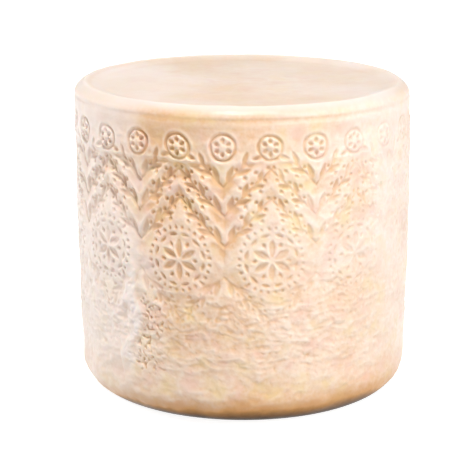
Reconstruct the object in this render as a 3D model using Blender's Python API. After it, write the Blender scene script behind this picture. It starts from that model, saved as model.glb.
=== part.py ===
"""A whole wheel of hard sheep's-milk cheese: a tall drum with a rounded foot, a rolled top edge and rows
of ornament that its mould pressed into the side.

It is one solid, "wheel", in metres. +Z is up, the origin is the middle of the flat base and the front
faces -Y. A place on the side is given by its angle from the front, which grows towards +X, and by its height.
"""

import collections
import math

import bmesh
import bpy
from mathutils import Matrix, Vector

MM = 0.001

# The drum, as it was turned out of its mould.
RADIUS = 155 * MM
HEIGHT = 286 * MM
WIDEST_HEIGHT = 0.72 * HEIGHT
PULL_IN_TOP = 2.4 * MM
PULL_IN_FOOT = 4.6 * MM
TOP_ROLL = 10 * MM
FOOT_ROUND = 29 * MM
TOP_DISH = 1.5 * MM

# How it has settled out of true while it ripened.
OVAL = 0.5 * MM
OVAL_TURN = math.radians(25)
SWELL = 0.5 * MM
TOP_LEAN = 1.6 * MM
LEAN_STARTS = 0.6 * HEIGHT

# How finely the drum is divided.
SIDES = 48
ROLL_STEPS = 3
FOOT_STEPS = 4
WALL_STEPS = 4
DISH_RADII = (0.97, 0.55)

# The ornament repeats in equal panels, each with a rosette in its middle.
PANELS = 12
PANEL_WIDTH = 2 * math.pi * RADIUS / PANELS
FIRST_PANEL = math.radians(9)
ROSETTE_HEIGHT = 153 * MM
HEADS_HEIGHT = 252 * MM
HIGHEST_MARK = 257 * MM

# Leafy garlands run in zigzags above and below the rosettes, at 45 degrees.
GARLAND_ABOVE_ROSETTE = 54 * MM
GARLAND_SPACING = 26 * MM
GARLANDS_ABOVE = 3
STEM_LENGTH = PANEL_WIDTH / math.sqrt(2)
FIRST_LEAF = 4 * MM
LEAF_STEP = 9.4 * MM
LEAF_LENGTH = 17 * MM
LAST_LEAF_LENGTH = 10 * MM
LEAF_WIDTH = 0.36  # of its length
LEAF_SPLAY = math.radians(25)
STEM_GAP = 0.8 * MM
MIDDLE_GAP = 1.5 * MM

PETALS = 6
PETAL_LENGTH = 17 * MM
PETAL_WIDTH = 7.6 * MM
PETAL_RADIUS = 10.5 * MM
RIM_DASHES = 12
RIM_DASH_LENGTH = 9 * MM
RIM_DASH_WIDTH = 3.6 * MM
RIM_RADIUS = 23 * MM

HEAD_PETALS = 6
HEAD_PETAL_LENGTH = 6.4 * MM
HEAD_PETAL_WIDTH = 4.4 * MM
HEAD_PETAL_RADIUS = 5.8 * MM

DEEP = 2.2 * MM
SHALLOW = 1.7 * MM
WORN = 1.2 * MM
CUTTER_RISE = 0.3 * MM

Mark = collections.namedtuple("Mark", "across height turn length width depth")


def clear_scene():
    for old in list(bpy.data.objects):
        bpy.data.objects.remove(old)


def wall_radius(height):
    """The side swells to its widest at WIDEST_HEIGHT and draws in towards both ends as a parabola."""
    if height > WIDEST_HEIGHT:
        return RADIUS - PULL_IN_TOP * ((height - WIDEST_HEIGHT) / (HEIGHT - WIDEST_HEIGHT)) ** 2
    return RADIUS - PULL_IN_FOOT * (1 - height / WIDEST_HEIGHT) ** 2


def arc(centre_radius, centre_height, size, first, last, steps):
    """Points (radius, height) along an arc, between two angles in degrees above the level."""
    for step in range(steps + 1):
        angle = math.radians(first + (last - first) * step / steps)
        yield centre_radius + size * math.cos(angle), centre_height + size * math.sin(angle)


def profile():
    """The drum's outline from the rim of the flat base, up the side and over the roll to the dished top."""
    shoulder = HEIGHT - TOP_ROLL
    foot_centre = wall_radius(FOOT_ROUND) - FOOT_ROUND
    roll_centre = wall_radius(shoulder) - TOP_ROLL
    points = list(arc(foot_centre, FOOT_ROUND, FOOT_ROUND, -90, 0, FOOT_STEPS))
    for step in range(1, WALL_STEPS):
        height = FOOT_ROUND + (shoulder - FOOT_ROUND) * step / WALL_STEPS
        points.append((wall_radius(height), height))
    points += arc(roll_centre, shoulder, TOP_ROLL, 0, 90, ROLL_STEPS)
    for share in DISH_RADII:
        points.append((share * roll_centre, HEIGHT - TOP_DISH * (1 - share**2)))
    return points


def settled(angle, radius, height):
    """Where a point of the true drum lies once it is a little oval, swollen on three sides and leaning at
    the top."""
    oval = OVAL * math.cos(2 * (angle - OVAL_TURN))
    swell = SWELL * math.cos(3 * angle) * math.sin(math.pi * height / HEIGHT)
    radius += (oval + swell) * radius / RADIUS
    rise = max(0, (height - LEAN_STARTS) / (HEIGHT - LEAN_STARTS))
    return Vector((radius * math.sin(angle) - TOP_LEAN * rise**2, -radius * math.cos(angle), height))


def make_drum():
    """Turns the profile about the upright axis, closes the base and the top, and lets the drum settle."""
    mesh = bmesh.new()
    outline = [mesh.verts.new((0, -radius, height)) for radius, height in profile()]
    edges = [mesh.edges.new(pair) for pair in zip(outline, outline[1:])]
    bmesh.ops.spin(
        mesh,
        geom=outline + edges,
        cent=(0, 0, 0),
        axis=(0, 0, 1),
        angle=2 * math.pi,
        steps=SIDES,
        use_merge=True,
    )
    rims = [edge for edge in mesh.edges if edge.is_boundary]
    bmesh.ops.holes_fill(mesh, edges=rims, sides=0)
    bmesh.ops.recalc_face_normals(mesh, faces=mesh.faces)
    for vert in mesh.verts:
        x, y, height = vert.co
        vert.co = settled(math.atan2(x, -y), math.hypot(x, y), height)
    drum = object_from(mesh, "wheel")
    drum.data.shade_smooth()
    drum.data.set_sharp_from_angle(angle=math.radians(30))
    return drum


def object_from(mesh, name):
    data = bpy.data.meshes.new(name)
    mesh.to_mesh(data)
    mesh.free()
    made = bpy.data.objects.new(name, data)
    bpy.context.collection.objects.link(made)
    return made


def radial_marks(across, height, count, radius, length, width, depth, outward=True):
    """Marks set evenly round a centre, each pointing away from it or laid along the ring."""
    for index in range(count):
        bearing = 2 * math.pi * (index + 0.5) / count
        turn = bearing if outward else bearing + math.pi / 2
        x = across + radius * math.cos(bearing)
        z = height + radius * math.sin(bearing)
        yield Mark(x, z, turn, length, width, depth)


def rosette():
    """A round flower in a ring of dashes, in the middle of its panel."""
    yield from radial_marks(0, ROSETTE_HEIGHT, PETALS, PETAL_RADIUS, PETAL_LENGTH, PETAL_WIDTH, DEEP)
    yield from radial_marks(
        0, ROSETTE_HEIGHT, RIM_DASHES, RIM_RADIUS, RIM_DASH_LENGTH, RIM_DASH_WIDTH, SHALLOW, outward=False
    )


def flower_head(across):
    """A small flower of the row that edges the ornament at the top."""
    yield from radial_marks(
        across,
        HEADS_HEIGHT,
        HEAD_PETALS,
        HEAD_PETAL_RADIUS,
        HEAD_PETAL_LENGTH,
        HEAD_PETAL_WIDTH,
        DEEP,
    )


def garland_side(peak, depth):
    """The right half of one peak of a garland. Its stem climbs from the panel's edge to the peak over the
    panel's middle, with leaves by turns above and below it that get shorter on the way. A leaf that would
    cross the middle, or reach over the row of flower heads, is left out."""
    climb = math.radians(135)
    along = FIRST_LEAF
    above = True
    while along < STEM_LENGTH:
        turn = climb - LEAF_SPLAY if above else climb + LEAF_SPLAY
        length = LEAF_LENGTH + (LAST_LEAF_LENGTH - LEAF_LENGTH) * along / STEM_LENGTH
        x = PANEL_WIDTH / 2 + along * math.cos(climb)
        z = peak - PANEL_WIDTH / 2 + along * math.sin(climb)
        reach = STEM_GAP + length
        fits_middle = x + reach * math.cos(turn) > MIDDLE_GAP
        fits_height = z + reach * math.sin(turn) < HIGHEST_MARK
        if fits_middle and fits_height:
            x += (reach - length / 2) * math.cos(turn)
            z += (reach - length / 2) * math.sin(turn)
            yield Mark(x, z, turn, length, LEAF_WIDTH * length, depth)
        along += LEAF_STEP
        above = not above


def mirrored_across(mark):
    return mark._replace(across=-mark.across, turn=math.pi - mark.turn)


def mirrored_down(mark):
    return mark._replace(height=2 * ROSETTE_HEIGHT - mark.height, turn=-mark.turn)


def panel_marks():
    """Every mark of one panel, placed from the panel's middle."""
    marks = list(rosette()) + list(flower_head(0)) + list(flower_head(PANEL_WIDTH / 2))
    first_peak = ROSETTE_HEIGHT + GARLAND_ABOVE_ROSETTE
    sides = []
    for index in range(GARLANDS_ABOVE):
        sides += garland_side(first_peak + index * GARLAND_SPACING, DEEP)
    sides += [mirrored_down(mark) for mark in garland_side(first_peak, WORN)]
    return marks + sides + [mirrored_across(mark) for mark in sides]


def placement(mark, panel_angle):
    """The frame on the drum's side where a mark is pressed: X along the mark, Y across it, Z out of the
    cheese."""
    angle = panel_angle + mark.across / RADIUS
    along_side = Vector((math.cos(angle), math.sin(angle), 0))
    up = Vector((0, 0, 1))
    outward = along_side.cross(up)
    x_axis = along_side * math.cos(mark.turn) + up * math.sin(mark.turn)
    y_axis = outward.cross(x_axis)
    turned = Matrix((x_axis, y_axis, outward)).transposed().to_4x4()
    return Matrix.Translation(settled(angle, wall_radius(mark.height), mark.height)) @ turned


def make_press():
    """The mould's relief, as one mesh of pointed studs. Each stud is a flattened cone whose tip goes as deep
    as its mark, and whose broad end stands just clear of the side."""
    mesh = bmesh.new()
    for panel in range(PANELS):
        panel_angle = FIRST_PANEL + panel * 2 * math.pi / PANELS
        for mark in panel_marks():
            tall = mark.depth + CUTTER_RISE
            flare = tall / mark.depth
            size = Matrix.Diagonal((flare * mark.length / 2, flare * mark.width / 2, 1, 1))
            middle = Matrix.Translation((0, 0, tall / 2 - mark.depth))
            bmesh.ops.create_cone(
                mesh,
                cap_ends=True,
                segments=4,
                radius1=0,
                radius2=1,
                depth=tall,
                matrix=placement(mark, panel_angle) @ middle @ size @ Matrix.Rotation(math.pi / 2, 4, "Z"),
            )
    bmesh.ops.recalc_face_normals(mesh, faces=mesh.faces)
    press = object_from(mesh, "press")
    press.hide_render = True
    press.display_type = "WIRE"
    return press


def press_marks(drum, press):
    cut = drum.modifiers.new("pressed ornament", "BOOLEAN")
    cut.operation = "DIFFERENCE"
    cut.solver = "EXACT"
    cut.object = press


def rind_material():
    """Pale, waxy, natural rind."""
    material = bpy.data.materials.new("waxed rind")
    material.use_nodes = True
    shader = material.node_tree.nodes["Principled BSDF"]
    shader.inputs["Base Color"].default_value = (0.83, 0.66, 0.47, 1)
    shader.inputs["Roughness"].default_value = 0.45
    return material


clear_scene()
wheel = make_drum()
wheel.data.materials.append(rind_material())
press_marks(wheel, make_press())
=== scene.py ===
"""The finish of a whole wheel of hard sheep's-milk cheese, and the studio that it stands in.

Heights and distances are in millimetres until a mesh is made. Round the side, a place is given by its angle
from the front (-Y), which grows towards +X, and by its height.
"""

import math

import bpy
import numpy as np
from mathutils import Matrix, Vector


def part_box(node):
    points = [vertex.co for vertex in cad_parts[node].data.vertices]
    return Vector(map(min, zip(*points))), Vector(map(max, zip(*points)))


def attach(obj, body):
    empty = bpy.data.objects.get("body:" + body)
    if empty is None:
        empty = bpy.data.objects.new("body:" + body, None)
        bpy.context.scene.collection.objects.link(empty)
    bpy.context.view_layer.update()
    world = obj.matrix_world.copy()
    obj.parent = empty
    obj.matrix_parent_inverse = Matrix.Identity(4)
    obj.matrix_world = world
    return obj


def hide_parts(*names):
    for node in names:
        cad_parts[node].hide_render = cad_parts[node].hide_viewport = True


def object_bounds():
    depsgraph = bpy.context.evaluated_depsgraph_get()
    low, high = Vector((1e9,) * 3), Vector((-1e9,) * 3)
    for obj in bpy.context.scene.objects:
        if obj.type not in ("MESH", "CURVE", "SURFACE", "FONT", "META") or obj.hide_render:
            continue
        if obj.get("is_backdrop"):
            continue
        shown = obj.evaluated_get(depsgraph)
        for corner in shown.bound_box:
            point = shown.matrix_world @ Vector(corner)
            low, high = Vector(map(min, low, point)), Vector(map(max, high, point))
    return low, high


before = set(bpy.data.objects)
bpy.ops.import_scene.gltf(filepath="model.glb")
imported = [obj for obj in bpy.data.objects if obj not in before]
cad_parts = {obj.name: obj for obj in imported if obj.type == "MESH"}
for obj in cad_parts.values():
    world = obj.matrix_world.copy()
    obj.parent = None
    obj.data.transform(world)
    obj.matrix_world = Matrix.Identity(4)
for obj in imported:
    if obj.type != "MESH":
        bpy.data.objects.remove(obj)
cad_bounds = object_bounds()


# ---------------------------------------------------------------- the drum
# One block of curd, formed and pressed in a drum mould, turned out and ripened for months on a shelf. The
# mould's lid rolled its top edge and dished the top a little, and the cheese's own weight rounded the foot
# and drew the whole slightly out of true.

MM = 0.001
RADIUS = 155
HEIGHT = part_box("wheel")[1].z / MM
WIDEST_HEIGHT = 0.72 * HEIGHT
PULL_IN_TOP = 2.4
PULL_IN_FOOT = 4.6
TOP_ROLL = 10
FOOT_ROUND = 29
TOP_DISH = 1.5
OVAL = 0.5
OVAL_TURN = math.radians(25)
SWELL = 0.5
TOP_LEAN = 1.6
LEAN_STARTS = 0.6 * HEIGHT
SIDE_FROM = RADIUS - 12

COLUMNS = 1200
POLE_RADIUS = 2
TOP_ROWS = 56
TOP_CROWDING = 0.8
ROLL_ROWS = 24
WALL_ROWS = 285
FOOT_ROWS = 36
BASE_ROWS = 10


def wall_radius(height):
    """The side's radius: widest at WIDEST_HEIGHT, drawn in towards both ends as the square of the way."""
    above = np.clip((height - WIDEST_HEIGHT) / (HEIGHT - WIDEST_HEIGHT), 0, 1)
    below = np.clip(1 - height / WIDEST_HEIGHT, 0, 1)
    return RADIUS - PULL_IN_TOP * above**2 - PULL_IN_FOOT * below**2


def drum_outline():
    """Radius and height down the drum's outline: the dished top, where the radii are even steps to the power
    TOP_CROWDING and so stand closer towards the rim, a quarter circle over the roll, the side, a quarter
    circle round the foot, and the flat base."""
    shoulder = HEIGHT - TOP_ROLL
    roll_centre = wall_radius(shoulder) - TOP_ROLL
    foot_centre = wall_radius(FOOT_ROUND) - FOOT_ROUND
    first_share = (POLE_RADIUS / roll_centre) ** (1 / TOP_CROWDING)
    across_top = roll_centre * np.linspace(first_share, 1, TOP_ROWS, endpoint=False) ** TOP_CROWDING
    over_roll = np.linspace(math.pi / 2, 0, ROLL_ROWS, endpoint=False)
    down_side = np.linspace(shoulder, FOOT_ROUND, WALL_ROWS, endpoint=False)
    under_foot = np.linspace(0, -math.pi / 2, FOOT_ROWS, endpoint=False)
    across_base = np.linspace(foot_centre, POLE_RADIUS, BASE_ROWS)
    radius = np.concatenate(
        [
            across_top,
            roll_centre + TOP_ROLL * np.cos(over_roll),
            wall_radius(down_side),
            foot_centre + FOOT_ROUND * np.cos(under_foot),
            across_base,
        ]
    )
    height = np.concatenate(
        [
            HEIGHT - TOP_DISH * (1 - (across_top / roll_centre) ** 2),
            shoulder + TOP_ROLL * np.sin(over_roll),
            down_side,
            FOOT_ROUND + FOOT_ROUND * np.sin(under_foot),
            np.zeros(BASE_ROWS),
        ]
    )
    return radius, height


def outline_slope(radius, height):
    """The outward direction at each point of the outline: the way down it, turned a quarter turn outwards."""
    out = np.stack([-np.gradient(height), np.gradient(radius)])
    return out / np.hypot(*out)


def settled(angle, radius, height):
    """Points of the true drum once it is a little oval, swollen on three sides and leaning at the top."""
    oval = OVAL * np.cos(2 * (angle - OVAL_TURN))
    swell = SWELL * np.cos(3 * angle) * np.sin(np.pi * np.clip(height / HEIGHT, 0, 1))
    radius = radius + (oval + swell) * radius / RADIUS
    rise = np.clip((height - LEAN_STARTS) / (HEIGHT - LEAN_STARTS), 0, 1)
    return np.stack([radius * np.sin(angle) - TOP_LEAN * rise**2, -radius * np.cos(angle), height], axis=-1)


angle = np.arange(COLUMNS) * 2 * math.pi / COLUMNS
row_radius, row_height = drum_outline()
row_out, row_up = outline_slope(row_radius, row_height)
true_points = settled(angle[None, :], row_radius[:, None], row_height[:, None] * np.ones(COLUMNS))


# ---------------------------------------------------------------- the pressed ornament
# The mould's wall carries a relief, and it presses the same panel into the soft side twelve times: rosettes
# in rings of dashes, leafy garlands that zigzag above and below them, and a row of small flowers along the
# top.

PANELS = 12
PANEL_WIDTH = 2 * math.pi * RADIUS / PANELS
FIRST_PANEL = math.radians(9)
ROSETTE_HEIGHT = 153
HEADS_HEIGHT = 252
HIGHEST_MARK = 257
MARKED_FROM = 44
MARKED_TO = 266
GARLANDS_END = HEADS_HEIGHT - 16
GARLANDS_FADE = 5
GARLAND_ABOVE_ROSETTE = 54
GARLAND_SPACING = 26
STEM_LENGTH = PANEL_WIDTH / math.sqrt(2)
FIRST_LEAF = 4
LEAF_STEP = 9.4
LEAF_LENGTH = 17
LAST_LEAF_LENGTH = 10
LEAF_WIDTH = 0.36
LEAF_SPLAY = math.radians(25)
STEM_GAP = 0.8
MIDDLE_GAP = 1.5
STEM_WIDTH = 2.0
STEM_DEPTH = 1.6
BERRIES = ((5.5, 7.4, 4.0), (15.0, 2.9, 3.2))  # how far along the stem, how far off it, and how wide
LEAST_VEINED = 4.2
VEIN_WIDTH = 1.3
VEIN_HEIGHT = 0.35
CHANNEL_WIDTH = 16
CHANNEL_DEPTH = 2.5
PETALS = (6, 10.5, 17, 7.6)  # how many round the centre, how far from it, how long and how wide
DOTS_BETWEEN = (6, 15.4, 5.6, 3.8)
DASHES = (12, 23, 9, 3.6)
OUTER_DOTS = (28, 28.4, 3.4, 2.9)
HEAD_PETALS = (6, 5.8, 6.4, 4.4)
HEAD_RING = (10.6, 2.6, 2.4)  # radius, width and depth
HEAD_BOSS = (6.4, 1.2)  # width and height
PRESS_MEAN = 0.78
PRESS_SWING = 0.46
DEEPEST_PRESS = math.radians(-30)
DEEP = 3.0
SHALLOW = 2.4
WORN = 1.9
FAINT = 1.2


def smooth_step(value, start, end):
    """0 before start and 1 after end, joined by the curve 3t^2 - 2t^3."""
    share = np.clip((value - start) / (end - start), 0, 1)
    return share * share * (3 - 2 * share)


def bell(distance, width):
    """1 at no distance, and e to the minus square of distance over width further off."""
    return np.exp(-((distance / width) ** 2))


def rumple(points, across, up, seed):
    """Uneven ground from -1 to 1. Every corner of a lattice of cells, across wide and up tall, has a slope in
    a random direction, looked up by mixing the corner's three numbers with three large primes, and within a
    cell the eight slopes are blended by the curve 6t^5 - 15t^4 + 10t^3."""
    slopes = np.random.default_rng(seed).normal(size=(4096, 3))
    slopes /= np.linalg.norm(slopes, axis=1, keepdims=True)
    cell = points / (across, across, up)
    corner = np.floor(cell).astype(np.int64)
    part = cell - corner
    ease = part**3 * (part * (part * 6 - 15) + 10)
    total = np.zeros(points.shape[:-1])
    for step in np.ndindex(2, 2, 2):
        x, y, z = np.moveaxis(corner + step, -1, 0)
        slope = slopes[(x * 73856093 ^ y * 19349663 ^ z * 83492791) % 4096]
        weight = np.where(step, ease, 1 - ease).prod(axis=-1)
        total += weight * ((part - step) * slope).sum(axis=-1)
    return np.clip(1.5 * total, -1, 1)


def pit(x, z, mark):
    """Depth of one lens-shaped mark. Its half width falls off as the square of the way to either tip, and
    across it the floor is a parabola to the power 0.8, with a bell-shaped vein left standing down the middle
    of a wide one."""
    across, height, turn, length, width, depth = mark
    along = (x - across) * math.cos(turn) + (z - height) * math.sin(turn)
    beside = (z - height) * math.cos(turn) - (x - across) * math.sin(turn)
    taper = np.clip(1 - (2 * along / length) ** 2, 0, 1)
    trough = np.clip(1 - (2 * beside / (width * taper + 1e-6)) ** 2, 0, 1) ** 0.8
    vein = VEIN_HEIGHT * bell(beside, VEIN_WIDTH / 2) if width > LEAST_VEINED else 0
    return depth * taper**0.5 * trough * (1 - vein)


def dome(x, z, across, height, width, rise):
    """A round boss whose height falls off as the square of the distance from its centre."""
    apart = ((x - across) ** 2 + (z - height) ** 2) / (width / 2) ** 2
    return rise * np.clip(1 - apart, 0, 1)


def ring(x, z, across, height, radius, width, depth):
    """A circular groove whose depth is a bell curve over the distance from its circle."""
    off = np.hypot(x - across, z - height) - radius
    return depth * bell(off, width / 2)


def radial_marks(across, height, marks, depth, outward=True, first=0.5):
    """Marks set evenly round a centre, each pointing away from it or laid along the ring. The first stands a
    share of one step from the right."""
    count, radius, length, width = marks
    for index in range(count):
        bearing = 2 * math.pi * (index + first) / count
        turn = bearing if outward else bearing + math.pi / 2
        x = across + radius * math.cos(bearing)
        z = height + radius * math.sin(bearing)
        yield x, z, turn, length, width, depth


def rosette_marks():
    """Six petals with a dot between each two, in a ring of twelve dashes and an outer ring of small dots."""
    yield from radial_marks(0, ROSETTE_HEIGHT, PETALS, DEEP)
    yield from radial_marks(0, ROSETTE_HEIGHT, DOTS_BETWEEN, SHALLOW, first=0)
    yield from radial_marks(0, ROSETTE_HEIGHT, DASHES, SHALLOW, outward=False)
    yield from radial_marks(0, ROSETTE_HEIGHT, OUTER_DOTS, SHALLOW)


def garland_marks(peak, depth):
    """The right half of one peak of a garland. Its stem climbs at 45 degrees from the panel's edge to the
    peak over the middle. Leaves stand by turns above and below it and get shorter on the way, with two
    berries by each. A leaf that would cross the middle, or reach over the flower heads, is left out."""
    climb = math.radians(135)
    for index, along in enumerate(np.arange(FIRST_LEAF, STEM_LENGTH, LEAF_STEP)):
        side = -1 if index % 2 == 0 else 1
        turn = climb + side * LEAF_SPLAY
        length = LEAF_LENGTH + (LAST_LEAF_LENGTH - LEAF_LENGTH) * along / STEM_LENGTH
        x = PANEL_WIDTH / 2 + along * math.cos(climb)
        z = peak - PANEL_WIDTH / 2 + along * math.sin(climb)
        reach = STEM_GAP + length
        if x + reach * math.cos(turn) < MIDDLE_GAP or z + reach * math.sin(turn) > HIGHEST_MARK:
            continue
        half = reach - length / 2
        yield x + half * math.cos(turn), z + half * math.sin(turn), turn, length, LEAF_WIDTH * length, depth
        for on, off, wide in BERRIES:
            berry_x = x + on * math.cos(climb) + off * math.cos(climb + side * math.pi / 2)
            berry_z = z + on * math.sin(climb) + off * math.sin(climb + side * math.pi / 2)
            if wide / 2 < berry_x < (PANEL_WIDTH - wide) / 2 and berry_z < GARLANDS_END:
                yield berry_x, berry_z, climb, wide + 0.8, wide, 0.75 * depth


def stem(x, z, peak, depth, width=STEM_WIDTH):
    """Depth of a garland's stem: a bell-shaped trough along the line x + z = peak, up to the flower heads. A
    wide one is the hollow that the whole garland lies in."""
    beside = (x + z - peak) / math.sqrt(2)
    shown = 1 - smooth_step(z, GARLANDS_END, GARLANDS_END + GARLANDS_FADE)
    return depth * bell(beside, width / 2) * shown


def ornament(x, z):
    """Depth of everything the mould pressed in, at distances x round the side and heights z. A panel's halves
    are mirror images, so x is folded about each panel's middle, and the marks below the rosettes are a
    fainter mirror image of those above."""
    x = np.abs((x - FIRST_PANEL * RADIUS + PANEL_WIDTH / 2) % PANEL_WIDTH - PANEL_WIDTH / 2)
    below = 2 * ROSETTE_HEIGHT - z
    depth = np.zeros(x.shape)
    bosses = np.zeros(x.shape)
    channels = np.zeros(x.shape)
    for mark in rosette_marks():
        depth = np.maximum(depth, pit(x, z, mark))
    for across in (0, PANEL_WIDTH / 2):
        for mark in radial_marks(across, HEADS_HEIGHT, HEAD_PETALS, DEEP):
            depth = np.maximum(depth, pit(x, z, mark))
        depth = np.maximum(depth, ring(x, z, across, HEADS_HEIGHT, *HEAD_RING))
        bosses += dome(x, z, across, HEADS_HEIGHT, *HEAD_BOSS)
    above = [(z, index, DEEP) for index in range(3)]
    mirrored = [(below, index, deep) for index, deep in enumerate((WORN, FAINT, FAINT))]
    for level, index, deep in above + mirrored:
        peak = ROSETTE_HEIGHT + GARLAND_ABOVE_ROSETTE + index * GARLAND_SPACING
        depth = np.maximum(depth, stem(x, level, peak, deep * STEM_DEPTH / DEEP))
        channels = np.maximum(channels, stem(x, level, peak, deep * CHANNEL_DEPTH / DEEP, CHANNEL_WIDTH))
        for mark in garland_marks(peak, deep):
            depth = np.maximum(depth, pit(x, level, mark))
    return np.where(bosses > 0, 0, depth), bosses, channels


def blurred(field, times):
    """The field after the mean 1-2-1 has passed over it that many times each way, closed round the wheel."""
    for _ in range(times):
        field = (np.roll(field, 1, axis=1) + 2 * field + np.roll(field, -1, axis=1)) / 4
        inner = (field[:-2] + 2 * field[1:-1] + field[2:]) / 4
        field = np.concatenate([field[:1], inner, field[-1:]])
    return field


heights = row_height[:, None] * np.ones(COLUMNS)
marked = (row_height > MARKED_FROM) & (row_height < MARKED_TO) & (row_radius > SIDE_FROM)
ground = true_points[marked]

# The curd crept as it drained, so the marks wander a little from their places.
drift_across = 1.6 * rumple(ground, 48, 48, 1) + 0.6 * rumple(ground, 9, 9, 2)
drift_up = 1.6 * rumple(ground, 48, 48, 3) + 0.6 * rumple(ground, 9, 9, 4)

# Low down they have nearly worn away, and the mould bit deepest at the left of the front and opposite.
worn = 0.25 + 0.6 * smooth_step(heights[marked], 52, 128) + 0.35 * smooth_step(heights[marked], 168, 215)
left_front = (0.5 + 0.5 * np.cos(angle - DEEPEST_PRESS))[None, :] * np.ones(heights.shape)
uneven = PRESS_MEAN + PRESS_SWING * np.cos(2 * (angle - DEEPEST_PRESS))
patches = 0.95 + 0.3 * rumple(ground, 55, 40, 5) + 0.4 * rumple(ground, 13, 13, 6)
strength = worn * uneven * np.clip(patches, 0.35, 1.3)

pits, domes, hollows = ornament(angle * RADIUS + drift_across, heights[marked] + drift_up)
pressed = np.zeros(heights.shape)
pressed[marked] = strength * pits
pressed = blurred(pressed, 1)
bosses = np.zeros(heights.shape)
bosses[marked] = strength * domes
channels = np.zeros(heights.shape)
channels[marked] = strength * hollows * left_front[marked] ** 3

# What a mark displaces is heaped round it.
heaped = 0.75 * blurred(pressed, 14)


# ---------------------------------------------------------------- the worn rind
# Drained, salted and turned by hand for months, the rind is smooth where it met the lid and the shelf, and
# rumpled and pitted where the side dried fastest, low down, where the ornament has all but gone. The mould's
# joint left a low upright ridge, and its lid a crease under the rim and a raised lip round the top.

BELT_BAND = (38, 68, 102, 148)  # the heights where it begins, is full, begins to fade and is gone
BEST_KEPT = math.radians(50)
LIP_RADIUS = 144.5
LIP_WIDTH = 2.6
LIP_RISE = 0.9
TOP_SINK = 2.3
SINK_RADII = (128, 142)
CREASE_HEIGHT = 275.5
CREASE_WIDTH = 2.2
CREASE_DEPTH = 1.0
FLARE = 1.0
FLARE_BAND = (259, 273, 277, 285)
JOINT_ANGLE = math.radians(-40)
JOINT_BAND = (26, 60, 130, 190)
JOINT_WIDTH = 13
JOINT_RISE = 2.4
POCKS_BAND = (38, 55, 105, 125)
POCKS_OFF_JOINT = 16
POCKS_WIDTH = 13
POCKS_DEPTH = 5.0
SCRATCH = ((60, -65), (78, -40))
SCRATCH_WIDTH = 2.0
SCRATCH_DEPTH = 0.5
BARE_MARGIN = (256, 264)
STREAKED_MARGIN = (258, 268)


def band(begins, full, fades, gone):
    """1 between the heights full and fades, and 0 below begins and above gone, joined by smooth steps."""
    return smooth_step(heights, begins, full) * (1 - smooth_step(heights, fades, gone))


def near_line(points, start, end, width):
    """A bell curve over the distance from a straight line between two places, seen from above."""
    way = np.subtract(end, start)
    share = np.clip(((points[..., :2] - start) @ way) / (way @ way), 0, 1)
    apart = np.linalg.norm(points[..., :2] - start - share[..., None] * way, axis=-1)
    return bell(apart, width / 2)


def gap_round(angle, middle):
    """The angle from the middle, in radians, the short way round."""
    return (angle - middle + math.pi) % (2 * math.pi) - math.pi


from_middle = row_radius[:, None]
on_side = smooth_step(from_middle, SIDE_FROM, SIDE_FROM + 4)
on_top = smooth_step(heights, HEIGHT - 9, HEIGHT - 3)
clear_of_base = smooth_step(heights, 1, 14)

# The belt: long soft wrinkles with crumbs between them, and pinholes where grains of curd met.
curl = np.stack([3.2 * rumple(true_points, 24, 15, seed) for seed in (11, 12, 13)], axis=-1)
folds = 1 - 2.2 * np.abs(rumple(true_points + curl, 17, 6.0, 14))
crumbs = rumple(true_points + curl, 6.0, 3.8, 15)
pinholes = np.clip(rumple(true_points, 3.6, 3.6, 16) - 0.38, 0, 1)
dried = 1.05 - 0.45 * bell(gap_round(angle, BEST_KEPT), math.radians(45))[None, :]
wrinkled = dried * band(*BELT_BAND) * (0.45 * folds + 0.4 * crumbs - 0.7 * pinholes)

# The joint: a wandering ridge, and a strip of pock marks at its right where the curd didn't knit.
joint_drift = 15 * rumple(true_points, 60, 40, 22) + 5 * rumple(true_points, 14, 14, 28)
joint_off = gap_round(angle, JOINT_ANGLE)[None, :] * RADIUS + joint_drift
joint = np.exp(-(np.abs(2 * joint_off / JOINT_WIDTH) ** 3.2)) * band(*JOINT_BAND)
ridge = JOINT_RISE * joint * np.clip(0.95 + 0.5 * rumple(true_points, 11, 15, 37), 0.5, 1.3)
pocks = np.clip(rumple(true_points, 3.0, 3.0, 34) - 0.12, 0, 1)
pocks = POCKS_DEPTH * pocks * bell(joint_off - POCKS_OFF_JOINT, POCKS_WIDTH) * band(*POCKS_BAND)

# The ground between the marks sags and swells, and fine streaks run round the bare margin above them.
slack = 0.6 * rumple(true_points, 75, 75, 17) + (0.2 + 1.1 * left_front) * rumple(true_points, 26, 18, 18)
grain = 0.09 * rumple(true_points, 4.5, 3, 19) + 0.07 * rumple(true_points, 2.3, 2.1, 21)
lumps = (0.15 + 0.45 * left_front) * rumple(true_points + curl, 9, 6, 20) - 0.5 * pinholes
lumps = on_side * lumps * (1 - 0.7 * smooth_step(heights, *BARE_MARGIN))
streaks = on_side * smooth_step(heights, *STREAKED_MARGIN) * 0.07 * rumple(true_points, 70, 1.6, 23)

# The rim and the top, as the lid left them.
crease = bell(heights - CREASE_HEIGHT, CREASE_WIDTH) * np.clip(0.5 + rumple(true_points, 90, 300, 29), 0, 1)
lip = on_top * bell(from_middle - LIP_RADIUS, LIP_WIDTH)
sunk_top = on_top * (1 - smooth_step(from_middle, *SINK_RADII))
rim = LIP_RISE * lip - TOP_SINK * sunk_top - CREASE_DEPTH * crease + FLARE * band(*FLARE_BAND)
smears = on_top * (0.3 * rumple(true_points, 36, 36, 24) + 0.09 * rumple(true_points, 9, 9, 25))
scratch = on_top * SCRATCH_DEPTH * near_line(true_points, *SCRATCH, SCRATCH_WIDTH)

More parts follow.
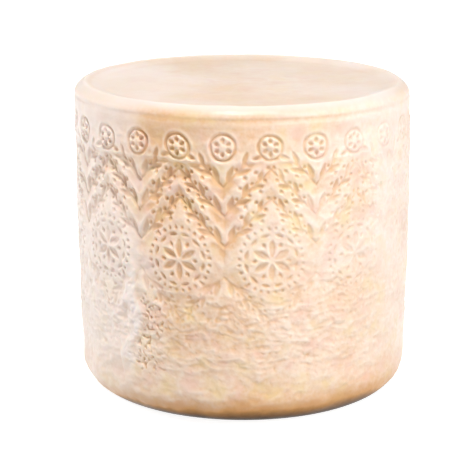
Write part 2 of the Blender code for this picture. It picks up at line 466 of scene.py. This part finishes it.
ornamented = heaped + bosses - channels - pressed
uneven_ground = slack * (1 - 0.7 * on_top) + grain * (1 - 0.6 * on_top) + lumps + streaks + smears
handled = (wrinkled - pocks) * (1 - 0.45 * joint) + ridge + rim - scratch
relief = clear_of_base * (ornamented + uneven_ground + handled)
radius = from_middle + row_out[:, None] * relief
height = row_height[:, None] + row_up[:, None] * relief
points = settled(angle[None, :], radius, height) * MM


def outward(points):
    """The direction out of the surface at every point: the way down the outline crossed with the way round
    the wheel."""
    round_it = np.roll(points, -1, axis=1) - np.roll(points, 1, axis=1)
    down_it = np.gradient(points, axis=0)
    out = np.cross(down_it, round_it)
    return out / np.linalg.norm(out, axis=-1, keepdims=True)


normals = outward(points)

# Painted shade, tan: in the marks, where some dirt and old oil stay as well, in the crease, and in a band
# under the rim where the lip would shade it.
RIM_SHADE_HEIGHT = 268
RIM_SHADE_ANGLE = math.radians(-30)
rim_shade = bell(heights - RIM_SHADE_HEIGHT, 9) * bell(gap_round(angle, RIM_SHADE_ANGLE), 1.1)[None, :]
groove = np.maximum(np.clip(pressed / DEEP, 0, 1), 0.6 * crease)
groove = np.maximum(groove, 0.8 * rim_shade)

# 0.5 on even ground, more where it is hollow and less where it stands out.
hollow = np.clip(0.5 - 0.8 * (relief - blurred(relief, 24)), 0, 1)

# Paler, chalky arcs with a wandering edge, where the draught dried the rind first. The widest, on the left,
# is painted light as well: the pale edge that a light from the left gives. Each arc has its middle and half
# width in degrees, its chalkiness, the share of that low down, and how softly it fades, in radians.
BLOOM_AND_PAINTED_LIGHT_ARCS = ((-84, 49, 1.0, 1.0, 0.28), (66, 36, 0.55, 0.35, 0.5), (150, 24, 0.8, 0.35, 0.5))
PALE_ARCS_CLIMB = (60, 190)
OFF_THE_SHELF = (18, 75)
OFF_THE_CENTRE = (20, 90)
wander = 0.22 * rumple(true_points, 48, 42, 26) + 0.12 * rumple(true_points, 17, 17, 27)
bloom_and_painted_light = np.zeros(heights.shape)
for arc_middle, half_arc, chalk, low_share, softness in BLOOM_AND_PAINTED_LIGHT_ARCS:
    inside = math.radians(half_arc) - np.abs(gap_round(angle, math.radians(arc_middle)))[None, :] + wander
    upward = low_share + (1 - low_share) * smooth_step(heights, *PALE_ARCS_CLIMB)
    bloom_and_painted_light = np.maximum(bloom_and_painted_light, chalk * upward * smooth_step(inside, -0.16, softness))
bloom_and_painted_light = bloom_and_painted_light * (0.4 + 0.6 * smooth_step(heights, *OFF_THE_SHELF))
bloom_and_painted_light = bloom_and_painted_light * (1 - 0.3 * on_top) * smooth_step(from_middle, *OFF_THE_CENTRE)

# The lip and the joint's ridge are painted pale: painted highlights where they catch the light.
painted_lip_highlight = on_top * bell(from_middle - LIP_RADIUS - 1, 4)
painted_ridge_highlight = joint * np.clip(0.85 + 0.6 * rumple(true_points, 12, 9, 36), 0.4, 1)
bloom_and_painted_light = np.maximum(bloom_and_painted_light, 0.7 * painted_lip_highlight)
bloom_and_painted_light = np.maximum(bloom_and_painted_light, 1.6 * painted_ridge_highlight)

# More golden in patches, each with its angle, height, size and strength, in the hollows of the garlands, and
# warmer low down. The first three patches, high at the left of the front under the rim and on the side below,
# and the gold in the garlands' hollows are painted shade; the other patches are where its own fat has come
# through.
FAT_AND_SHADE_PATCHES = (
    (-28, 262, 48, 0.75),
    (4, 270, 44, 0.45),
    (-28, 215, 64, 0.75),
    (-18, 95, 60, 0.5),
    (30, 75, 60, 0.3),
    (50, 18, 22, 1.0),
    (120, 190, 80, 0.5),
    (-160, 120, 90, 0.5),
)
LOW_WARMTH_HEIGHTS = (22, 78)
frayed = 0.35 * rumple(true_points, 30, 30, 31)
warmer_low_down = 0.35 * (1 - smooth_step(heights, *LOW_WARMTH_HEIGHTS)) * (0.6 + 0.4 * left_front)
fat_and_painted_shade = np.maximum(0.8 * channels / CHANNEL_DEPTH, warmer_low_down)
for patch_angle, patch_height, size, amount in FAT_AND_SHADE_PATCHES:
    across = gap_round(angle, math.radians(patch_angle))[None, :] * RADIUS
    apart = np.hypot(across, heights - patch_height) / size
    fat_and_painted_shade = np.maximum(fat_and_painted_shade, amount * bell(apart + frayed, 1))

# Round the foot it is golden, then brown towards the table: painted shade where the wheel stands on the
# table, partly a damp stain from its shelf. A faint golden trace lies inside the lip.
FOOT_BAND_HEIGHT = 9
FOOT_BAND_SWING = 10
HIGHEST_FOOT_BAND = math.radians(28)
LEAST_FOOT_BAND = 4
foot_band = FOOT_BAND_HEIGHT + FOOT_BAND_SWING * np.cos(angle - HIGHEST_FOOT_BAND)[None, :] + 5 * rumple(true_points, 35, 60, 32)
foot_band = np.maximum(foot_band + 2 * rumple(true_points, 9, 9, 33), LEAST_FOOT_BAND)
damp_and_foot_shade = 1 - smooth_step(heights, 0.05 * foot_band, 2.1 * foot_band)
far_left = np.clip(np.cos(angle + math.radians(105)), 0, 1)[None, :] ** 3
damp_and_foot_shade = np.maximum(damp_and_foot_shade, 0.15 * far_left * on_top * bell(from_middle - LIP_RADIUS + 4.5, 2.2))

rind_fields = {"groove": groove, "hollow": hollow, "bloom_and_painted_light": bloom_and_painted_light, "fat_and_painted_shade": fat_and_painted_shade, "damp_and_foot_shade": damp_and_foot_shade}


# ---------------------------------------------------------------- the rind's finish
# Natural rind rubbed with its own fat: a pale cream skin, half waxy, that light sinks into a little. Painted
# shade makes it warmer and browner in the grooves, hollows and crease, under the rim and round the foot where
# it stands, with some dirt in the marks and a damp stain at the foot; painted highlights and painted light
# make it paler on raised ground, the lip, the joint's ridge and the left edge; and it is paler and pinker on
# top.

RIND_CREAM = "EBD7C6"
RIND_WARM = "DDB287"
BLUSH_PINK = "E3BBA8"
STRAW = "E2C48E"
TOP_PALE = "E4D5CB"
TOP_SMEAR = "D9C2AC"
BLOOM_AND_HIGHLIGHT_WHITE = "ECDED6"
RAISED_WEAR_AND_HIGHLIGHT_PALE = "F4E6DA"
GROOVE_TAN = "B27F50"
# The foot's gold and brown paint the shade where the wheel stands on the table, partly a damp stain.
FOOT_GOLD = "C88C44"
FOOT_BROWN = "3E260C"
PALE_FROM = 279
PALEST_FROM = 284.5
PORE_DEPTH = 0.4
GLOW_DEPTH = 4
GLOW_BY_COLOUR = (1.0, 0.55, 0.28)  # red light travels furthest under the skin, and blue the least

# How large each kind of mottling is, in millimetres, and how many finer layers it has.
MOTTLING = {
    "blotches": (45, 4),
    "blush": (22, 3),
    "smears": (70, 3),
    "dregs": (18, 2),
    "flecks": (4, 3),
    "pores": (2.2, 4),
}


def linear(hex_colour):
    """An sRGB hex colour as linear light, with alpha 1."""
    parts = [int(hex_colour[i : i + 2], 16) / 255 for i in (0, 2, 4)]
    return [p / 12.92 if p <= 0.04045 else ((p + 0.055) / 1.055) ** 2.4 for p in parts] + [1]


def add_node(tree, kind, inputs, **settings):
    """Adds a node, sets it, and gives each named or numbered input its value or its link."""
    made = tree.nodes.new(kind)
    for name, value in settings.items():
        setattr(made, name, value)
    for socket, value in inputs.items():
        if isinstance(value, bpy.types.NodeSocket):
            tree.links.new(value, made.inputs[socket])
        else:
            made.inputs[socket].default_value = value
    return made


def waxy_natural_rind():
    """Rind oiled and left to dry. To the eye it has a soft, broad, uneven sheen over a glow from just under
    the skin, and is mottled: chalky where it is dry, golden where its grease has come through. Painted shade
    makes it tan in the marks, the crease and under the rim, with some dirt in the marks, warm in the hollows
    and golden brown round the foot, and painted light makes it pale on raised ground, the lip, the joint's
    ridge and the left edge."""
    material = bpy.data.materials.new("waxy natural cheese rind")
    material.use_nodes = True
    tree = material.node_tree
    shader = tree.nodes["Principled BSDF"]
    place = add_node(tree, "ShaderNodeTexCoord", {}).outputs["Object"]
    up = add_node(tree, "ShaderNodeSeparateXYZ", {0: place}).outputs["Z"]
    field = {
        name: add_node(tree, "ShaderNodeAttribute", {}, attribute_name=name).outputs["Fac"]
        for name in rind_fields
    }
    mottled = {}
    for name, (size, layers) in MOTTLING.items():
        sockets = {"Vector": place, "Scale": 1 / (size * MM), "Detail": layers}
        mottled[name] = add_node(tree, "ShaderNodeTexNoise", sockets).outputs[0]

    # Each range takes what it reads from its first two numbers to its last two.
    ranges = {
        "warm": (mottled["blotches"], 0.4, 0.7, 0.0, 0.4),
        "flecked": (mottled["flecks"], 0.3, 0.75, -0.1, 0.3),
        # The next two are painted shade and painted highlight that deepen the relief: the hollows warmed, and
        # the raised ground paled, partly by wear.
        "sunk": (field["hollow"], 0.5, 1.0, 0.0, 0.35),
        "raised_wear_and_highlight": (field["hollow"], 0.5, 0.1, 0.0, 0.35),
        "pink": (mottled["blush"], 0.53, 0.68, 0.0, 0.6),
        "straw": (mottled["blush"], 0.47, 0.32, 0.0, 0.6),
        "top": (up, PALE_FROM * MM, PALEST_FROM * MM, 0.0, 0.85),
        "smeared": (mottled["smears"], 0.38, 0.62, 0.0, 1.0),
        "dirt_and_painted_shade": (field["groove"], 0.15, 1.0, 0.0, 0.3),
        "patchy": (mottled["dregs"], 0.35, 0.65, 0.2, 0.9),
        "golden": (field["damp_and_foot_shade"], 0.0, 0.7, 0.0, 0.9),
        "brown": (field["damp_and_foot_shade"], 0.6, 0.97, 0.0, 0.97),
        "roughness": (mottled["blotches"], 0.3, 0.7, 0.36, 0.5),
    }
    share = {
        name: add_node(tree, "ShaderNodeMapRange", dict(enumerate(numbers))).outputs[0]
        for name, numbers in ranges.items()
    }
    warmth_and_painted_shade = field["fat_and_painted_shade"]
    for name in ("warm", "flecked", "sunk"):
        warmth_and_painted_shade = add_node(tree, "ShaderNodeMath", {0: warmth_and_painted_shade, 1: share[name]}, operation="ADD").outputs[0]
    # One pale coat carries the chalky bloom and the painted light and highlights.
    chalk_and_painted_light = add_node(tree, "ShaderNodeMath", {0: field["bloom_and_painted_light"], 1: 0.7}, operation="MULTIPLY").outputs[0]
    # The tan coat is painted shade in the marks, the crease and under the rim, with some dirt in the marks.
    dirt_and_painted_shade = {0: share["dirt_and_painted_shade"], 1: share["patchy"]}
    dirt_and_painted_shade = add_node(tree, "ShaderNodeMath", dirt_and_painted_shade, operation="MULTIPLY").outputs[0]
    top = {0: share["smeared"], 6: linear(TOP_PALE), 7: linear(TOP_SMEAR)}
    top = add_node(tree, "ShaderNodeMix", top, data_type="RGBA").outputs[2]

    # The colours lie over each other, from the skin itself to the brown at the foot. The warm, tan, gold and
    # brown coats carry painted shade and the pale coats painted light and highlights, as well as the rind's
    # own colour.
    colour = linear(RIND_CREAM)
    coats = (
        (warmth_and_painted_shade, linear(RIND_WARM)),
        (share["pink"], linear(BLUSH_PINK)),
        (share["straw"], linear(STRAW)),
        (share["top"], top),
        (chalk_and_painted_light, linear(BLOOM_AND_HIGHLIGHT_WHITE)),
        (share["raised_wear_and_highlight"], linear(RAISED_WEAR_AND_HIGHLIGHT_PALE)),
        (dirt_and_painted_shade, linear(GROOVE_TAN)),
        (share["golden"], linear(FOOT_GOLD)),
        (share["brown"], linear(FOOT_BROWN)),
    )
    for amount, coat in coats:
        mix = {0: amount, 6: colour, 7: coat}
        colour = add_node(tree, "ShaderNodeMix", mix, data_type="RGBA").outputs[2]
    tree.links.new(colour, shader.inputs["Base Color"])

    tree.links.new(share["roughness"], shader.inputs["Roughness"])
    shader.inputs["IOR"].default_value = 1.46
    shader.inputs["Subsurface Weight"].default_value = 0.2
    shader.inputs["Subsurface Radius"].default_value = GLOW_BY_COLOUR
    shader.inputs["Subsurface Scale"].default_value = GLOW_DEPTH * MM

    pores = {"Height": mottled["pores"], "Strength": 0.35, "Distance": PORE_DEPTH * MM}
    tree.links.new(add_node(tree, "ShaderNodeBump", pores).outputs[0], shader.inputs["Normal"])
    return material


# ---------------------------------------------------------------- the skin of the wheel, in bands
# The rind is one unbroken skin. It is made as six rings that share their edges point for point, because the
# ornament needs a point every millimetre.

BANDS = {
    "rind_top": 274.6,
    "rind_high_side": 211,
    "rind_upper_side": 151,
    "rind_lower_side": 91,
    "rind_low_side": 29.5,
    "rind_foot": 0,
}


def ring_faces(rows):
    """Four-sided faces between neighbouring rows and columns, closed round the wheel and facing out."""
    column = np.arange(COLUMNS)
    start = np.arange(rows - 1)[:, None] * COLUMNS
    here = start + column
    beside = start + np.roll(column, -1)
    return np.stack([here, here + COLUMNS, beside + COLUMNS, beside], axis=-1).reshape(-1, 4).tolist()


def fan(centre, first, facing_up):
    """Triangles that close a ring of points on a centre point."""
    here = first + np.arange(COLUMNS)
    beside = first + np.roll(np.arange(COLUMNS), -1)
    pair = (here, beside) if facing_up else (beside, here)
    return np.stack([np.full(COLUMNS, centre), *pair], axis=-1).tolist()


def rind_band(name, first, last, material):
    """One ring of the skin, from one row of points to another. The centres of the top and the base are
    closed."""
    rows = last - first + 1
    places = points[first : last + 1].reshape(-1, 3)
    facing = normals[first : last + 1].reshape(-1, 3)
    faces = ring_faces(rows)
    values = {key: field[first : last + 1].ravel() for key, field in rind_fields.items()}
    for row, edge in ((0, 0), (len(row_height) - 1, rows - 1)):
        if row in (first, last):
            centre = points[row].mean(axis=0)
            faces += fan(len(places), edge * COLUMNS, facing_up=row == 0)
            places = np.vstack([places, centre])
            facing = np.vstack([facing, (0, 0, 1 if row == 0 else -1)])
            values = {key: np.append(value, value[edge * COLUMNS]) for key, value in values.items()}
    mesh = bpy.data.meshes.new(name)
    mesh.from_pydata(places.tolist(), [], faces)
    mesh.shade_smooth()
    mesh.normals_split_custom_set_from_vertices(facing.tolist())
    for key, value in values.items():
        mesh.attributes.new(key, "FLOAT", "POINT").data.foreach_set("value", value.astype(np.float32))
    mesh.materials.append(material)
    piece = bpy.data.objects.new(name, mesh)
    bpy.context.collection.objects.link(piece)
    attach(piece, "root")
    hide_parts("wheel")


def row_below(height):
    """The first row of the side below a height, or the last row of all for the base."""
    if height == 0:
        return len(row_height) - 1
    return int(np.argmax((row_height < height) & (row_radius > SIDE_FROM)))


rind = waxy_natural_rind()
first_row = 0
for band_name, lowest in BANDS.items():
    last_row = row_below(lowest)
    rind_band(band_name, first_row, last_row, rind)
    first_row = last_row


# ---------------------------------------------------------------- the studio
# A white table that runs on out of sight, in a white room. A small key light from high in front picks out
# the relief, a soft light on the left pales that edge, and a wide window low on the right fills the shade.

FLOOR_SIZE = 30
TABLE_GREY = "BCBBB9"
TABLE_GLOW = 0.9
DAYLIGHT = "FDFEFF"
LAMP_DISTANCE = 2.3
ROOM_RIGHT = 1.02
ROOM_LEFT = 0.2
ROOM_FRONT = 1.25
ROOM_BACK = 0.45
ROOM_BELOW = 1.74
ROOM_UNDERFOOT = 0.35


def floor_paint():
    """Matt white paint, lit from within like a light table, so that to the eye it runs on white without an
    end."""
    material = bpy.data.materials.new("matt white table")
    material.use_nodes = True
    shader = material.node_tree.nodes["Principled BSDF"]
    shader.inputs["Base Color"].default_value = linear(TABLE_GREY)
    shader.inputs["Roughness"].default_value = 0.9
    shader.inputs["Emission Color"].default_value = linear("FFFFFF")
    shader.inputs["Emission Strength"].default_value = TABLE_GLOW
    return material


def make_floor():
    """A square of table at height 0 that only the camera sees. The room's light holds what it throws
    back."""
    half = FLOOR_SIZE / 2
    corners = [(-half, -half, 0), (half, -half, 0), (half, half, 0), (-half, half, 0)]
    mesh = bpy.data.meshes.new("table")
    mesh.from_pydata(corners, [], [(0, 1, 2, 3)])
    mesh.materials.append(floor_paint())
    table = bpy.data.objects.new("table", mesh)
    table.visible_diffuse = False
    table.visible_glossy = False
    bpy.context.collection.objects.link(table)
    table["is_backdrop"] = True


def aimed(thing, place, target):
    """Puts a camera or a lamp at a place and turns it to look at a target."""
    thing.location = place
    thing.rotation_euler = (Vector(target) - Vector(place)).to_track_quat("-Z", "Y").to_euler()
    bpy.context.collection.objects.link(thing)


def lamp(name, bearing, rise, size, watts, glossy=True):
    """A round soft light at LAMP_DISTANCE from the wheel's middle, in metres. Its bearing in degrees grows
    from the front towards +X, and its rise is the angle above the level."""
    light = bpy.data.lights.new(name, "AREA")
    light.shape = "DISK"
    light.size = size
    light.energy = watts
    light.color = linear(DAYLIGHT)[:3]
    bearing, rise = math.radians(bearing), math.radians(rise)
    way = (math.sin(bearing) * math.cos(rise), -math.cos(bearing) * math.cos(rise), math.sin(rise))
    shone = bpy.data.objects.new(name, light)
    shone.visible_glossy = glossy
    aimed(shone, middle + LAMP_DISTANCE * Vector(way), middle)


def room():
    """The light of the room by direction. Above the level it grows from the middle towards a white wall on
    the right, and a little towards the left, both brighter in front, with some more from behind. Below the
    level it is what a white table throws back, and falls away towards the wheel's own shadow underneath."""
    world = bpy.data.worlds.new("white room")
    world.use_nodes = True
    tree = world.node_tree
    way = add_node(tree, "ShaderNodeTexCoord", {}).outputs["Generated"]
    part = add_node(tree, "ShaderNodeSeparateXYZ", {0: way}).outputs
    ranges = (
        (part["X"], 0.0, 0.7, 0.0, ROOM_RIGHT),
        (part["X"], 0.0, -0.7, 0.0, ROOM_LEFT),
        (part["Y"], 0.5, -0.4, 0.0, ROOM_FRONT),
        (part["Y"], 0.3, 1.0, 0.0, ROOM_BACK),
        (part["Z"], -0.4, -0.93, ROOM_BELOW, ROOM_UNDERFOOT),
    )
    right, left, front, back, table = (
        add_node(tree, "ShaderNodeMapRange", dict(enumerate(numbers))).outputs[0] for numbers in ranges
    )
    sides = add_node(tree, "ShaderNodeMath", {0: right, 1: left}, operation="ADD").outputs[0]
    walls = {0: sides, 1: front, 2: back}
    walls = add_node(tree, "ShaderNodeMath", walls, operation="MULTIPLY_ADD").outputs[0]
    below = add_node(tree, "ShaderNodeMath", {0: part["Z"], 1: 0.0}, operation="LESS_THAN").outputs[0]
    strength = add_node(tree, "ShaderNodeMix", {0: below, 2: walls, 3: table}).outputs[0]
    tree.links.new(strength, tree.nodes["Background"].inputs["Strength"])
    tree.nodes["Background"].inputs["Color"].default_value = linear(DAYLIGHT)
    bpy.context.scene.world = world


middle = Vector((0, 0, HEIGHT * MM / 2))
make_floor()
room()
lamp("key", -4, 69, 0.3, 46)
lamp("left light", -105, 20, 0.8, 20, glossy=False)
lamp("window", 56, 15, 1.4, 12)

# The frame's width, the focal length and the place of the wheel's middle in the frame are in pixels.
FRAME_WIDTH = 474
FOCAL_PIXELS = 1800
CAMERA_DISTANCE = 1.693
CAMERA_RISE = math.radians(14.14)
MIDDLE_RIGHT = 6.2
MIDDLE_ABOVE = 7.1

lens = bpy.data.cameras.new("camera")
lens.sensor_width = 36
lens.lens = lens.sensor_width * FOCAL_PIXELS / FRAME_WIDTH
lens.shift_x = -MIDDLE_RIGHT / FRAME_WIDTH
lens.shift_y = -MIDDLE_ABOVE / FRAME_WIDTH
lens.clip_end = 100
away = Vector((0, -math.cos(CAMERA_RISE), math.sin(CAMERA_RISE)))
camera = bpy.data.objects.new("camera", lens)
aimed(camera, middle + CAMERA_DISTANCE * away, middle)
bpy.context.scene.camera = camera
bpy.context.scene.view_settings.view_transform = "Standard"

[[list(corner) for corner in box] for box in (cad_bounds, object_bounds())]
